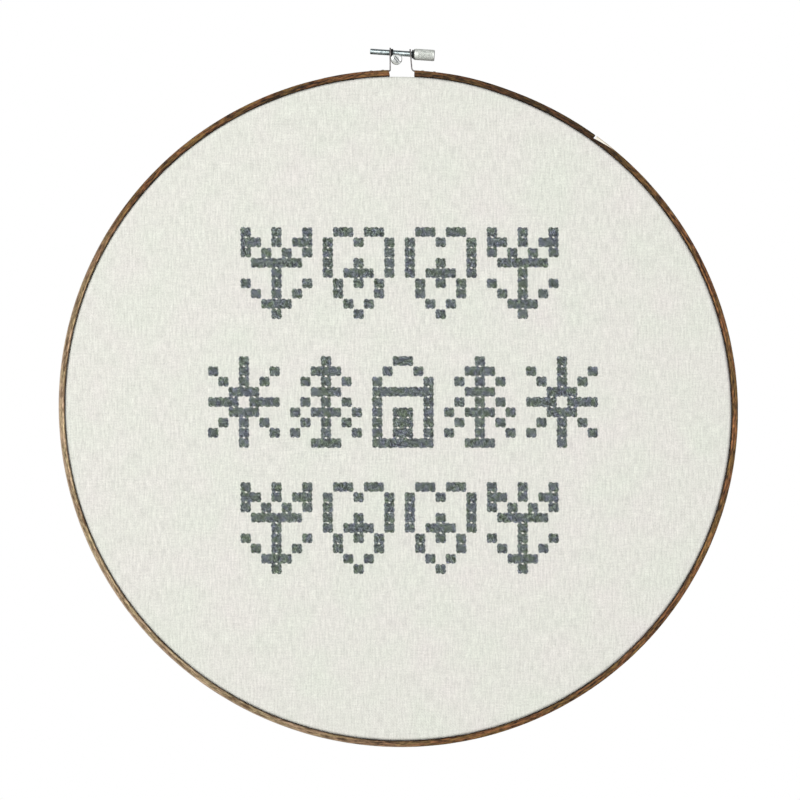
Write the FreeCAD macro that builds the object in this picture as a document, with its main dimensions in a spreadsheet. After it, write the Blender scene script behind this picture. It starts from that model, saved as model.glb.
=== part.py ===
import FreeCAD, Part

import math
import os
import re

import Sketcher

# An embroidery hoop that hangs on a wall screw by its own closure. Units are millimetres.
#
# Most pieces are drawn in the flat frame: the hoop lies on its back, x to the right, y up the wall and
# z from the wall towards the viewer. STAND_UP then turns a piece into the part's frame: +Z up the wall,
# the front facing -Y, the wall at y = 0. Both frames start on the hanging screw's axis at the wall.
# Angles round the hoop run clockwise from its top, as seen from the front.

V = FreeCAD.Vector
QUARTER = 90
STAND_UP = FreeCAD.Placement(V(0, 0, 0), FreeCAD.Rotation(V(1, 0, 0), QUARTER))
NEAR = 0.001

SIZES = {
    # the hoop hangs a little to the right of the screw
    "hoop_shift": 0.65,
    "hoop_drop": 209.7,
    # outer hoop: a 16 inch hoop, bent from a wooden strip
    "outer_radius": 203.2,
    "outer_thickness": 3.8,
    "hoop_depth": 16.0,
    "outer_rounding": 0.8,
    "left_end_angle": -1.31,
    "left_end_slant": 10.0,
    "left_end_rounding": 0.4,
    "right_end_angle": 2.85,
    # the scarf where the lap strip is glued on to the long strip
    "scarf_start_angle": 26.0,
    "scarf_middle_angle": 29.0,
    "scarf_reach_angle": 50.0,
    "scarf_depth": 2.95,
    "scarf_shift": 8.7,
    "lap_end_angle": 35.9,
    "lap_end_gap": 0.25,
    "lap_end_rounding": 0.9,
    # inner hoop and the cloth stretched over it
    "cloth_clearance": 0.3,
    "cloth_thickness": 0.45,
    "cloth_rest": 0.05,
    "cloth_bevel": 1.1,
    "cloth_front_radius": 196.0,
    "inner_thickness": 4.0,
    "inner_back": 1.3,
    "inner_front": 15.4,
    "inner_front_rounding": 1.5,
    "inner_back_rounding": 0.8,
    "margin_inner_radius": 172.0,
    "margin_fold_rounding": 0.35,
    "stitch_line_radius": 176.0,
    "thread_radius": 0.3,
    # cross-stitch: cell pitch, yarn height and the rows' places relative to the hoop's centre
    "stitch_pitch": 6.15,
    "stitch_overlap": 0.2,
    "stitch_height": 0.6,
    "outer_row_shift": 1.25,
    "middle_row_shift": 3.25,
    "top_row_height": 81.4,
    "middle_row_height": 4.1,
    "bottom_row_height": -71.4,
    # closure brackets, bent from strip
    "sheet_thickness": 0.8,
    "bracket_width": 9.0,
    "bracket_top_rounding": 1.5,
    "left_leg_face": -3.36,
    "left_leg_lean": 0.0,
    "left_leg_top": 6.9,
    "left_bend": 1.1,
    "left_foot_length": 14.6,
    "right_leg_face": 7.97,
    "right_leg_lean": 5.1,
    "right_leg_top": 6.0,
    "right_bend": 2.6,
    "right_foot_length": 15.6,
    "leg_hole_radius": 2.1,
    "pocket_spare": 0.25,
    "pocket_end_spare": 0.6,
    "bore_reach": 25.0,
    # nails that hold the brackets
    "nail_radius": 0.5,
    "nail_length": 3.2,
    "nail_head_radius": 1.25,
    "nail_crown_radius": 0.75,
    "nail_head_height": 0.4,
    "nail_spacing": 7.0,
    # clamp screw, an M3.5 rod that slopes down to the right
    "rod_tilt": 3.7,
    "rod_radius": 1.75,
    "rod_lift": 3.7,
    "rod_tip": -16.1,
    "rod_chamfer": 0.35,
    "washer_start": 9.03,
    "washer_thickness": 0.8,
    "washer_radius": 2.6,
    "washer_hole_radius": 1.9,
    "knob_start": 9.88,
    "knob_length": 12.8,
    "knob_radius": 3.4,
    "knob_neck_radius": 2.6,
    "knob_taper": 1.2,
    "knob_end_chamfer": 0.5,
    "knob_bore_depth": 8.0,
    "nut_radius": 2.4,
    "nut_length": 1.4,
    "nut_bore_radius": 1.8,
    # hanging screw
    "shank_radius": 1.75,
    "thread_outer_radius": 2.0,
    "wall_length": 25.0,
    "wall_stand_off": 0.5,
    "tip_length": 3.5,
    "head_underside": 12.8,
    "head_height": 2.2,
    "head_radius": 3.4,
    "head_rounding": 1.3,
    "slot_width": 1.1,
    "slot_depth": 1.0,
    "slot_turn": 50.0,
}

# Each motif is nine rows of cells. They are plain folk patterns.
TULIP = (
    "X..X..X",
    "XX.X.XX",
    "X.X.X.X",
    ".XXXXX.",
    "...X...",
    "X..X..X",
    ".X.X.X.",
    "..XXX..",
    "...X...",
)
HEART = (
    ".XX.XX.",
    "X..X..X",
    "X.....X",
    "X..X..X",
    "X.XXX.X",
    ".X.X.X.",
    ".X...X.",
    "..X.X..",
    "...X...",
)
STAR = (
    "...X...",
    "X..X..X",
    ".X.X.X.",
    "..XXX..",
    "XXX.XXX",
    "..XXX..",
    ".X.X.X.",
    "X..X..X",
    "...X...",
)
FIR = (
    "...X...",
    "..XXX..",
    ".X.X.X.",
    "..XXX..",
    ".X.X.X.",
    "X.XXX.X",
    ".X.X.X.",
    "X..X..X",
    "..XXX..",
)
HOUSE = (
    "..XX..",
    ".X..X.",
    "X....X",
    "XXXXXX",
    "X....X",
    "X.XX.X",
    "X.XX.X",
    "X.XX.X",
    "XXXXXX",
)
OUTER_ROW = (("tulip_left", TULIP), ("heart_left", HEART), ("heart_right", HEART), ("tulip_right", TULIP))
MIDDLE_ROW = (
    ("star_left", STAR),
    ("fir_left", FIR),
    ("house", HOUSE),
    ("fir_right", FIR),
    ("star_right", STAR),
)

# The closure's two sides, as signs of x.
SIDES = {"left": -1, "right": 1}

doc = FreeCAD.newDocument("embroidery_hoop")
sheet = doc.addObject("Spreadsheet::Sheet", "Sizes")
pieces = []


def fill_sheet():
    for number, (alias, value) in enumerate(SIZES.items(), start=1):
        sheet.set(f"A{number}", alias)
        sheet.set(f"B{number}", str(value))
        sheet.setAlias(f"B{number}", alias)
    doc.recompute()


def size(expression):
    """The value of an expression of cell names, such as outer_radius - outer_thickness."""
    return float(sheet.evalExpression(expression))


def linked(expression):
    """The expression as another object writes it, with each cell named by its sheet."""
    return re.sub(r"[a-z]+_[a-z_]+", lambda name: f"Sizes.{name.group(0)}", expression)


def bind(feature, **expressions):
    for name, expression in expressions.items():
        feature.setExpression(name, linked(expression))


def moved(x=0.0, y=0.0, z=0.0):
    return FreeCAD.Placement(V(x, y, z), FreeCAD.Rotation())


def turned(angle):
    """A turn about z, clockwise as seen from the front."""
    return FreeCAD.Placement(V(0, 0, 0), FreeCAD.Rotation(V(0, 0, 1), -angle))


def hoop_centre():
    return moved(size("hoop_shift"), -size("hoop_drop"))


def at_rim(angle, along=0.0, out=0.0, depth=0.0):
    """A place on the hoop: x runs clockwise along the rim and y points away from the centre."""
    return hoop_centre() * turned(angle) * moved(along, out, depth)


def tipped(axis, angle):
    """A turn about x or y, by the right-hand rule."""
    return FreeCAD.Placement(V(0, 0, 0), FreeCAD.Rotation(axis, angle))


def on_rod(distance):
    """A place on the clamp screw's axis, whose z runs along the rod to the right."""
    slope = moved(z=size("hoop_depth / 2")) * turned(size("rod_tilt"))
    return slope * moved(distance, size("rod_lift")) * tipped(V(0, 1, 0), QUARTER)


def keep(feature, label, place=None):
    """Names a finished piece and stands it up against the wall."""
    feature.Label = label
    feature.Placement = STAND_UP * place if place else STAND_UP
    pieces.append(feature)
    return feature


# ---- helpers for PartDesign bodies --------------------------------------------------------------------


def new_sketch(body, name, role):
    sketch = body.newObject("Sketcher::SketchObject", name)
    plane = next(item for item in body.Origin.OriginFeatures if item.Role == role)
    sketch.AttachmentSupport = (plane, [""])
    sketch.MapMode = "FlatFace"
    return sketch


def hold_at(sketch, edge, kind, axis, expression):
    """Holds the start of an edge at a distance from the sketch's origin."""
    if abs(size(expression)) < NEAR:
        sketch.addConstraint(Sketcher.Constraint("PointOnObject", edge, 1, axis))
        return
    number = sketch.addConstraint(Sketcher.Constraint(kind, -1, 1, edge, 1, size(expression)))
    sketch.setExpression(f"Constraints[{number}]", linked(expression))


def outline(body, name, role, corners):
    """A closed outline whose corners are pairs of expressions."""
    sketch = new_sketch(body, name, role)
    spots = [V(size(across), size(up), 0) for across, up in corners]
    count = len(spots)
    for number, spot in enumerate(spots):
        sketch.addGeometry(Part.LineSegment(spot, spots[(number + 1) % count]), False)
    for number, (across, up) in enumerate(corners):
        following = (number + 1) % count
        sketch.addConstraint(Sketcher.Constraint("Coincident", number, 2, following, 1))
        hold_at(sketch, number, "DistanceX", -2, across)
        hold_at(sketch, number, "DistanceY", -1, up)
    return sketch


def turned_body(name, corners):
    """A body of revolution about z, from corners given as (radius, height)."""
    body = doc.addObject("PartDesign::Body", name)
    sketch = outline(body, f"{name}_profile", "XZ_Plane", corners)
    sweep = body.newObject("PartDesign::Revolution", f"{name}_turned")
    sweep.Profile = sketch
    sweep.ReferenceAxis = (sketch, ["V_Axis"])
    sweep.Angle = 360
    doc.recompute()
    return body


def round_off(body, radius, *rims):
    """Rounds the circular edges that lie at the given (radius, height) pairs."""
    base = body.Tip
    names = []
    for number, edge in enumerate(base.Shape.Edges, start=1):
        curve = edge.Curve
        for across, up in rims:
            if isinstance(curve, Part.Circle) and abs(curve.Radius - size(across)) < NEAR:
                if abs(curve.Center.z - size(up)) < NEAR:
                    names.append(f"Edge{number}")
    fillet = body.newObject("PartDesign::Fillet", f"{body.Name}_rounding")
    fillet.Base = (base, names)
    bind(fillet, Radius=radius)
    doc.recompute()
    return fillet


# ---- helpers for Part primitives and booleans ------------------------------------------------------------


def rod(name, radius, length, place=None):
    cylinder = doc.addObject("Part::Cylinder", name)
    bind(cylinder, Radius=radius, Height=length)
    if place:
        cylinder.Placement = place
    return cylinder


def slice_of_hoop(name, first, last, width="2 * hoop_depth"):
    """A wedge of everything between two angles, given as expressions. It is centred on the hoop's depth."""
    wedge = rod(name, "outer_radius + outer_thickness", width)
    bind(wedge, Angle=f"{last} - ({first})")
    wedge.Placement = at_rim(size(last) - QUARTER, depth=size(f"(hoop_depth - ({width})) / 2"))
    return wedge


def cut(name, base, tool):
    result = doc.addObject("Part::Cut", name)
    result.Base = base
    result.Tool = tool
    return result


def common(name, base, tool):
    result = doc.addObject("Part::Common", name)
    result.Base = base
    result.Tool = tool
    return result


def joined(name, *shapes):
    result = doc.addObject("Part::MultiFuse", name)
    result.Shapes = list(shapes)
    return result


def group(name, *shapes):
    result = doc.addObject("Part::Compound", name)
    result.Links = list(shapes)
    return result


# ---- hanging screw ------------------------------------------------------------------------------------------


def make_hanging_screw():
    """A slotted round-head screw: plain shank in front of the wall, thread inside it."""
    head_top = "head_underside + head_height"
    body = turned_body(
        "hanging_screw_body",
        [
            ("0", "-wall_length - tip_length"),
            ("thread_outer_radius", "-wall_length + wall_stand_off"),
            ("thread_outer_radius", "wall_stand_off"),
            ("shank_radius", "wall_stand_off"),
            ("shank_radius", "head_underside"),
            ("head_radius", "head_underside"),
            ("head_radius", head_top),
            ("0", head_top),
        ],
    )
    round_off(body, "head_rounding", ("head_radius", head_top))
    slot = new_sketch(body, "screw_slot", "XY_Plane")
    half_length = size("head_radius + 1")
    half_width = size("slot_width / 2")
    corner_signs = ((-1, -1), (1, -1), (1, 1), (-1, 1))
    spots = [V(across * half_length, up * half_width, 0) for across, up in corner_signs]
    for number, spot in enumerate(spots):
        slot.addGeometry(Part.LineSegment(spot, spots[(number + 1) % len(spots)]), False)
    for number in range(len(spots)):
        following = (number + 1) % len(spots)
        slot.addConstraint(Sketcher.Constraint("Coincident", number, 2, following, 1))
    for number, (across, up) in enumerate(corner_signs):
        hold_at(slot, number, "DistanceX", -2, f"{across} * (head_radius + 1)")
        hold_at(slot, number, "DistanceY", -1, f"{up} * slot_width / 2")
    slot.AttachmentOffset = FreeCAD.Placement(V(0, 0, size(head_top)), FreeCAD.Rotation())
    pocket = body.newObject("PartDesign::Pocket", "screw_slot_cut")
    pocket.Profile = slot
    bind(pocket, Length="slot_depth")
    doc.recompute()
    keep(body, "hanging_screw", turned(size("slot_turn")))


# ---- closure ---------------------------------------------------------------------------------------------------


def make_nails(label, middle_angle):
    """Two nails that pass through a bracket's foot into the wood. Returns them as a tool for cutting."""
    nails = []
    for number, side in enumerate((-1, 1)):
        along = side * size("nail_spacing / 2")
        place = at_rim(middle_angle, along, size("outer_radius"), size("hoop_depth / 2"))
        outwards = place * tipped(V(1, 0, 0), -QUARTER)
        shank = rod(f"{label}_shank_{number}", "nail_radius", "nail_length")
        shank.Placement = outwards * moved(z=-size("nail_length"))
        head = doc.addObject("Part::Cone", f"{label}_head_{number}")
        bind(head, Radius1="nail_head_radius", Radius2="nail_crown_radius", Height="nail_head_height")
        head.Placement = outwards
        nails.append(joined(f"{label}_nail_{number}", shank, head))
    keep(group(f"{label}_pair", *nails), label)
    return group(f"{label}_holes", *nails)


def rod_bore(name, radius):
    """A long round tool on the clamp screw's axis, reaching past everything that the screw goes through."""
    return rod(name, radius, "2 * bore_reach", on_rod(-size("bore_reach")))


def bracket_blank(name, side, leg_face, lean, leg_top, bend, foot_length):
    """A strip bent from a leg into a foot that is let into the wood. side is 1 for the right one, -1 for the left.

    The bend is drawn for the right bracket and mirrored: the strip's outer face runs down the leg's inner
    side, round the bend and along the floor of the foot's pocket.
    """
    centre = V(side * size("hoop_shift"), -size("hoop_drop"), 0)
    rim = size("outer_radius - sheet_thickness")
    lean_turn = FreeCAD.Rotation(V(0, 0, 1), lean)
    upwards = lean_turn.multVec(V(0, 1, 0))
    rightwards = lean_turn.multVec(V(1, 0, 0))
    on_leg = V(leg_face, size("rod_lift"), 0)
    # The bend's centre lies one bend radius from the leg's face and from the pocket's floor.
    beside_leg = on_leg + rightwards * bend
    offset = beside_leg - centre
    along = offset.dot(upwards)
    reach = (rim + bend) ** 2 - (offset.Length**2 - along**2)
    bend_centre = beside_leg + upwards * (reach**0.5 - along)
    leg_end = bend_centre - rightwards * bend
    towards_hoop = (centre - bend_centre).normalize()
    foot_start = bend_centre + towards_hoop * bend
    bend_middle = bend_centre + (towards_hoop - rightwards).normalize() * bend
    top = leg_end + upwards * ((leg_top - leg_end.y) / upwards.y)
    foot_turn = foot_length / rim
    outwards = foot_start - centre
    foot_spots = []
    for share in (0.5, 1.0):
        turn = FreeCAD.Rotation(V(0, 0, 1), -math.degrees(foot_turn * share))
        foot_spots.append(centre + turn.multVec(outwards))
    edges = [
        Part.makeLine(top, leg_end),
        Part.Arc(leg_end, bend_middle, foot_start).toShape(),
        Part.Arc(foot_start, foot_spots[0], foot_spots[1]).toShape(),
    ]
    face = Part.Wire(edges).makeOffset2D(size("sheet_thickness"), 0, True, True)
    if face.distToShape(Part.Vertex(leg_end + rightwards * size("sheet_thickness")))[0] > NEAR:
        face = Part.Wire(edges).makeOffset2D(-size("sheet_thickness"), 0, True, True)
    width = size("bracket_width")
    strip = face.extrude(V(0, 0, width))
    top_edges = [
        edge
        for edge in strip.Edges
        if abs(edge.Length - size("sheet_thickness")) < NEAR
        and edge.CenterOfMass.y > top.y - size("sheet_thickness")
    ]
    strip = strip.makeFillet(size("bracket_top_rounding"), top_edges)
    strip.translate(V(0, 0, (size("hoop_depth") - width) / 2))
    if side < 0:
        strip = strip.mirror(V(0, 0, 0), V(1, 0, 0))
    blank = doc.addObject("Part::Feature", name)
    blank.Shape = strip
    return blank


def make_bracket(label, blank, nails):
    """Bores a bent strip for the clamp screw and pierces it for its nails."""
    hole = rod_bore(f"{label}_rod_hole", "leg_hole_radius")
    bored = cut(f"{label}_bored", blank, hole)
    keep(cut(f"{label}_pierced", bored, nails), label)


def make_clinch_nut():
    """A plain nut pressed on to the left leg's inner face, bored along the sloping rod."""
    leg_face = size("left_leg_face")
    slope = FreeCAD.Rotation(V(0, 0, 1), -size("rod_tilt"))
    middle = leg_face + size("nut_length / 2")
    on_axis = slope.multVec(V(0, size("rod_lift"), 0))
    along = slope.multVec(V(1, 0, 0))
    height = on_axis.y + (middle - on_axis.x) * along.y / along.x
    place = moved(leg_face, height, size("hoop_depth / 2")) * tipped(V(0, 1, 0), QUARTER)
    blank = rod("clinch_nut_blank", "nut_radius", "nut_length", place)
    bore = rod_bore("clinch_nut_bore", "nut_bore_radius")
    keep(cut("clinch_nut_bored", blank, bore), "clinch_nut")


def make_clamp_screw():
    """The threaded rod, from its tip on the left to its end inside the knob."""
    length = "(knob_start + knob_bore_depth - rod_tip)"
    body = turned_body(
        "clamp_screw_body",
        [
            ("0", "0"),
            ("rod_radius - rod_chamfer", "0"),
            ("rod_radius", "rod_chamfer"),
            ("rod_radius", length),
            ("0", length),
        ],
    )
    keep(body, "clamp_screw", on_rod(size("rod_tip")))


def make_thumb_knob():
    """The knurled cylinder that is turned by hand, pressed on to the rod's right end."""
    body = turned_body(
        "thumb_knob_body",
        [
            ("rod_radius", "0"),
            ("knob_neck_radius", "0"),
            ("knob_radius", "knob_taper"),
            ("knob_radius", "knob_length - knob_end_chamfer"),
            ("knob_radius - knob_end_chamfer", "knob_length"),
            ("0", "knob_length"),
            ("0", "knob_bore_depth"),
            ("rod_radius", "knob_bore_depth"),
        ],
    )
    keep(body, "thumb_knob", on_rod(size("knob_start")))


def make_clamp_washer():
    blank = rod("clamp_washer_blank", "washer_radius", "washer_thickness", on_rod(size("washer_start")))
    hole = rod_bore("clamp_washer_hole", "washer_hole_radius")
    keep(cut("clamp_washer_cut", blank, hole), "clamp_washer")


def foot_reach(name, side):
    """How far round the rim, in degrees from the top, a bracket's bend and foot reach: start and end."""
    lean = math.tan(math.radians(size(f"{name}_leg_lean"))) * size("hoop_drop - outer_radius + rod_lift")
    start = abs(size(f"{name}_leg_face")) - side * size("hoop_shift") + lean
    end = start + size(f"{name}_bend + {name}_foot_length")
    return [side * math.degrees(reach / size("outer_radius")) for reach in (start, end)]


def foot_pocket(name, side):
    """A shallow sector of the rim, a little wider and longer than a bracket's foot, to be cut from the wood."""
    start, end = foot_reach(name, side)
    spare = side * math.degrees(size("pocket_end_spare / outer_radius"))
    first, last = sorted((start, end + spare))
    width = "bracket_width + 2 * pocket_spare"
    whole = slice_of_hoop(f"{name}_pocket_whole", str(first), str(last), width)
    core = rod(f"{name}_pocket_core", "outer_radius - sheet_thickness", width)
    core.Placement = at_rim(0, depth=size(f"(hoop_depth - ({width})) / 2"))
    return cut(f"{name}_pocket", whole, core)


def make_closure():
    """Both brackets with their nails, and the clamp screw with what is on it. Returns the nail groups."""
    nails = {}
    for name, side in SIDES.items():
        start, end = foot_reach(name, side)
        bend = side * math.degrees(size(f"{name}_bend / outer_radius"))
        nails[name] = make_nails(f"{name}_bracket_nails", (start + bend + end) / 2)
    left = bracket_blank(
        "left_bracket_blank",
        SIDES["left"],
        -size("left_leg_face"),
        size("left_leg_lean"),
        size("left_leg_top"),
        size("left_bend"),
        size("left_foot_length"),
    )
    right = bracket_blank(
        "right_bracket_blank",
        SIDES["right"],
        size("right_leg_face"),
        size("right_leg_lean"),
        size("right_leg_top"),
        size("right_bend"),
        size("right_foot_length"),
    )
    make_bracket("left_bracket", left, nails["left"])
    make_bracket("right_bracket", right, nails["right"])
    make_clinch_nut()
    make_clamp_screw()
    make_clamp_washer()
    make_thumb_knob()
    return nails


# ---- wooden hoops --------------------------------------------------------------------------------------------


def make_outer_ring():
    """The bent strip as a whole ring with rounded edges, before it is cut."""
    inner = "outer_radius - outer_thickness"
    rims = [(radius, depth) for radius in (inner, "outer_radius") for depth in ("0", "hoop_depth")]
    body = turned_body("outer_ring", [rims[0], rims[2], rims[3], rims[1]])
    round_off(body, "outer_rounding", *rims)
    body.Placement = hoop_centre()
    return body


def round_end(name, strip, end_angle, rim, rounding):
    """Rounds the edge across a strip's end that is nearest to its corner on the given rim."""
    doc.recompute()
    corner = at_rim(size(end_angle), out=size(rim), depth=size("hoop_depth / 2")).Base
    distances = [edge.distToShape(Part.Vertex(corner))[0] for edge in strip.Shape.Edges]
    number = distances.index(min(distances)) + 1
    fillet = doc.addObject("Part::Fillet", name)
    fillet.Base = strip
    fillet.Edges = [(number, size(rounding), size(rounding))]
    return fillet


def make_outer_hoop(nails):
    """Cuts the ring at the top and along the scarf, which leaves a long strip and a short lap strip.

    The scarf's curved joint is part of a circle whose centre is shifted a quarter turn on from the
    joint's middle, so that it rises evenly from near the ring's inner face to half its thickness.
    """
    ring = make_outer_ring()
    depth = -size("hoop_depth / 2")
    circle = rod(
        "scarf_circle",
        "outer_radius - scarf_depth",
        "2 * hoop_depth",
        at_rim(size("scarf_middle_angle") + QUARTER, out=size("scarf_shift"), depth=depth),
    )
    scarf_slice = slice_of_hoop("scarf_slice", "scarf_start_angle", "scarf_reach_angle")
    scarf = common("scarf_side", circle, scarf_slice)
    lap_side = slice_of_hoop("lap_side", "right_end_angle", "lap_end_angle")
    taken = slice_of_hoop("taken_for_lap", "right_end_angle", "lap_end_angle + lap_end_gap")

    # The left end is cut at a slant by a box, and a slice that starts inside the box clears the gap.
    opened = slice_of_hoop("closure_gap", "left_end_angle / 2", "right_end_angle")
    trim = doc.addObject("Part::Box", "left_end_trim")
    bind(trim, Length="outer_thickness", Width="3 * outer_thickness", Height="2 * hoop_depth")
    inner = "outer_radius - outer_thickness"
    end_corner = at_rim(size("left_end_angle"), out=size(inner), depth=depth)
    trim.Placement = end_corner * turned(-size("left_end_slant")) * moved(y=-size("outer_thickness"))

    outside_scarf = cut("taken_outside_scarf", taken, scarf)
    main = cut("outer_ring_opened", ring, joined("all_taken", opened, outside_scarf, trim))
    main = round_end("left_end_rounded", main, "left_end_angle", inner, "left_end_rounding")
    main = cut("main_strip_pocketed", main, foot_pocket("left", SIDES["left"]))
    main = cut("main_strip_nailed", main, nails["left"])
    keep(main, "outer_hoop_main_strip")

    lap = cut("lap_on_scarf", common("lap_piece", ring, lap_side), scarf)
    lap = round_end("lap_end_rounded", lap, "lap_end_angle", "outer_radius", "lap_end_rounding")
    lap = cut("lap_strip_pocketed", lap, foot_pocket("right", SIDES["right"]))
    lap = cut("lap_strip_nailed", lap, nails["right"])
    keep(lap, "outer_hoop_lap_strip")


def make_inner_hoop():
    outer = "outer_radius - outer_thickness - cloth_clearance - cloth_thickness - cloth_rest"
    inner = f"{outer} - inner_thickness"
    body = turned_body(
        "inner_hoop_body",
        [(inner, "inner_back"), (outer, "inner_back"), (outer, "inner_front"), (inner, "inner_front")],
    )
    round_off(body, "inner_front_rounding", (outer, "inner_front"), (inner, "inner_front"))
    round_off(body, "inner_back_rounding", (outer, "inner_back"), (inner, "inner_back"))
    keep(body, "inner_hoop", hoop_centre())


# ---- cloth and stitching ---------------------------------------------------------------------------------------


def make_cloth_front():
    """The flat, stretched front."""
    underside = "inner_front + cloth_rest"
    face = f"{underside} + cloth_thickness"
    rim = "cloth_front_radius"
    corners = [("0", underside), (rim, underside), (rim, face), ("0", face)]
    keep(turned_body("cloth_front_body", corners), "cloth_front", hoop_centre())


def make_cloth_side():
    """The bevelled shoulder where the cloth turns over the inner hoop, and the part squeezed between hoops."""
    rim = "outer_radius - outer_thickness - cloth_clearance"
    under_rim = f"{rim} - cloth_thickness"
    underside = "inner_front + cloth_rest"
    face = f"{underside} + cloth_thickness"
    near_wood = "inner_back - cloth_rest"
    # A 45 degree bevel that keeps the cloth's thickness is this much shorter on the cloth's underside.
    under_bevel = "(cloth_bevel - (2 - sqrt(2)) * cloth_thickness)"
    body = turned_body(
        "cloth_side_body",
        [
            ("cloth_front_radius", underside),
            (f"{under_rim} - {under_bevel}", underside),
            (under_rim, f"{underside} - {under_bevel}"),
            (under_rim, near_wood),
            (rim, near_wood),
            (rim, f"{face} - cloth_bevel"),
            (f"{rim} - cloth_bevel", face),
            ("cloth_front_radius", face),
        ],
    )
    keep(body, "cloth_side", hoop_centre())


def make_cloth_margin():
    """The cloth's margin, turned in behind the inner hoop."""
    rim = "outer_radius - outer_thickness - cloth_clearance"
    near_wood = "inner_back - cloth_rest"
    back = f"{near_wood} - cloth_thickness"
    body = turned_body(
        "cloth_margin_body",
        [("margin_inner_radius", back), (rim, back), (rim, near_wood), ("margin_inner_radius", near_wood)],
    )
    round_off(body, "margin_fold_rounding", (rim, back))
    keep(body, "cloth_margin", hoop_centre())


def make_gathering_thread():
    """The running stitch that pulls the margin in, as one ring just behind the cloth."""
    ring = doc.addObject("Part::Torus", "gathering_thread_ring")
    bind(ring, Radius1="stitch_line_radius", Radius2="thread_radius")
    back = size("inner_back - cloth_rest - cloth_thickness - thread_radius")
    keep(ring, "gathering_thread", hoop_centre() * moved(z=back))


def stitched_solid(pattern, left, top):
    """One motif as a plate: a box for each run of filled cells, fused with the runs it touches."""
    pitch = size("stitch_pitch")
    spare = size("stitch_overlap / 2")
    base = size("inner_front + cloth_rest + cloth_thickness")
    height = size("stitch_height")
    boxes = []
    for row, cells in enumerate(pattern):
        bottom = top - (row + 1) * pitch - spare
        for run in re.finditer("X+", cells):
            corner = V(left + run.start() * pitch - spare, bottom, base)
            length = len(run.group(0)) * pitch + 2 * spare
            boxes.append(Part.makeBox(length, pitch + 2 * spare, height, corner))
    return boxes[0].fuse(boxes[1:]).removeSplitter()


def make_row(row_name, motifs, row_height, row_shift):
    """A row of motifs with one empty cell between neighbours, centred on its place."""
    pitch = size("stitch_pitch")
    cells = sum(len(pattern[0]) for _, pattern in motifs) + len(motifs) - 1
    left = size("hoop_shift") + size(row_shift) - cells * pitch / 2
    for name, pattern in motifs:
        top = size(row_height) - size("hoop_drop") + len(pattern) * pitch / 2
        motif = doc.addObject("Part::Feature", f"motif_{row_name}_{name}")
        motif.Shape = stitched_solid(pattern, left, top)
        keep(motif, f"stitches_{row_name}_{name}")
        left += (len(pattern[0]) + 1) * pitch


# ---- check and write -----------------------------------------------------------------------------------------


def check_pieces():
    for item in doc.Objects:
        if {"Invalid", "Error"} & set(item.State):
            raise RuntimeError(f"{item.Label} failed: {item.State}")
    for piece in pieces:
        if piece.Shape.isNull() or not piece.Shape.isValid() or not piece.Shape.Solids:
            raise RuntimeError(f"{piece.Label} has no valid solid")


def write_pieces():
    os.makedirs("parts", exist_ok=True)
    for piece in pieces:
        piece.Shape.exportStep(f"parts/{piece.Label}.step")
        box = piece.Shape.BoundBox
        print(
            f"{piece.Label}: {len(piece.Shape.Solids)} solid(s), {piece.Shape.Volume:.1f} mm3,",
            f"x {box.XMin:.2f}..{box.XMax:.2f}, y {box.YMin:.2f}..{box.YMax:.2f},",
            f"z {box.ZMin:.2f}..{box.ZMax:.2f}",
        )


fill_sheet()
make_hanging_screw()
bracket_nails = make_closure()
make_outer_hoop(bracket_nails)
make_inner_hoop()
make_cloth_front()
make_cloth_side()
make_cloth_margin()
make_gathering_thread()
make_row("top", OUTER_ROW, "top_row_height", "outer_row_shift")
make_row("middle", MIDDLE_ROW, "middle_row_height", "middle_row_shift")
make_row("bottom", OUTER_ROW, "bottom_row_height", "outer_row_shift")
doc.recompute()
check_pieces()
write_pieces()
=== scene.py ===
import math
import random

import bpy
from mathutils import Matrix, Vector, noise


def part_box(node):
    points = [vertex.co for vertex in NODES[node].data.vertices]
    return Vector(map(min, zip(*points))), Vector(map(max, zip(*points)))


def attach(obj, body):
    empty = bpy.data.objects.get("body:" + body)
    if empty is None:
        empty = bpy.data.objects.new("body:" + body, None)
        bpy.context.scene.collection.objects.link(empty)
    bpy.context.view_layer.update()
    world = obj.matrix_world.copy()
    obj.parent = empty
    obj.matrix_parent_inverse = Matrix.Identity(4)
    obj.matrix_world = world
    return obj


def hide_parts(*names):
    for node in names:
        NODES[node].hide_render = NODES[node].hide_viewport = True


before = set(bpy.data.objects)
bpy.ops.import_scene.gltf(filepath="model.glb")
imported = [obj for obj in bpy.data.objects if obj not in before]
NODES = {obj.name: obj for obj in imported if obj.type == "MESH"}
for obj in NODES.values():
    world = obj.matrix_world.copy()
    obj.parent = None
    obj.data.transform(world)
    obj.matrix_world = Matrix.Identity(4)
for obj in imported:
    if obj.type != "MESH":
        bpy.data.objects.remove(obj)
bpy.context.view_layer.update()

# An embroidery hoop that hangs on a wall screw. Everything is in metres, in the row frame: +Z is up the
# wall, the front faces -Y and the wall is at y = 0. Angles round the hoop run clockwise from its top.

MM = 0.001
TURN = 2 * math.pi
SEED = 16
random.seed(SEED)


def middle_of(node):
    low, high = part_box(node)
    return (low + high) / 2


HOOP_MIDDLE = middle_of("inner_hoop")

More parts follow.
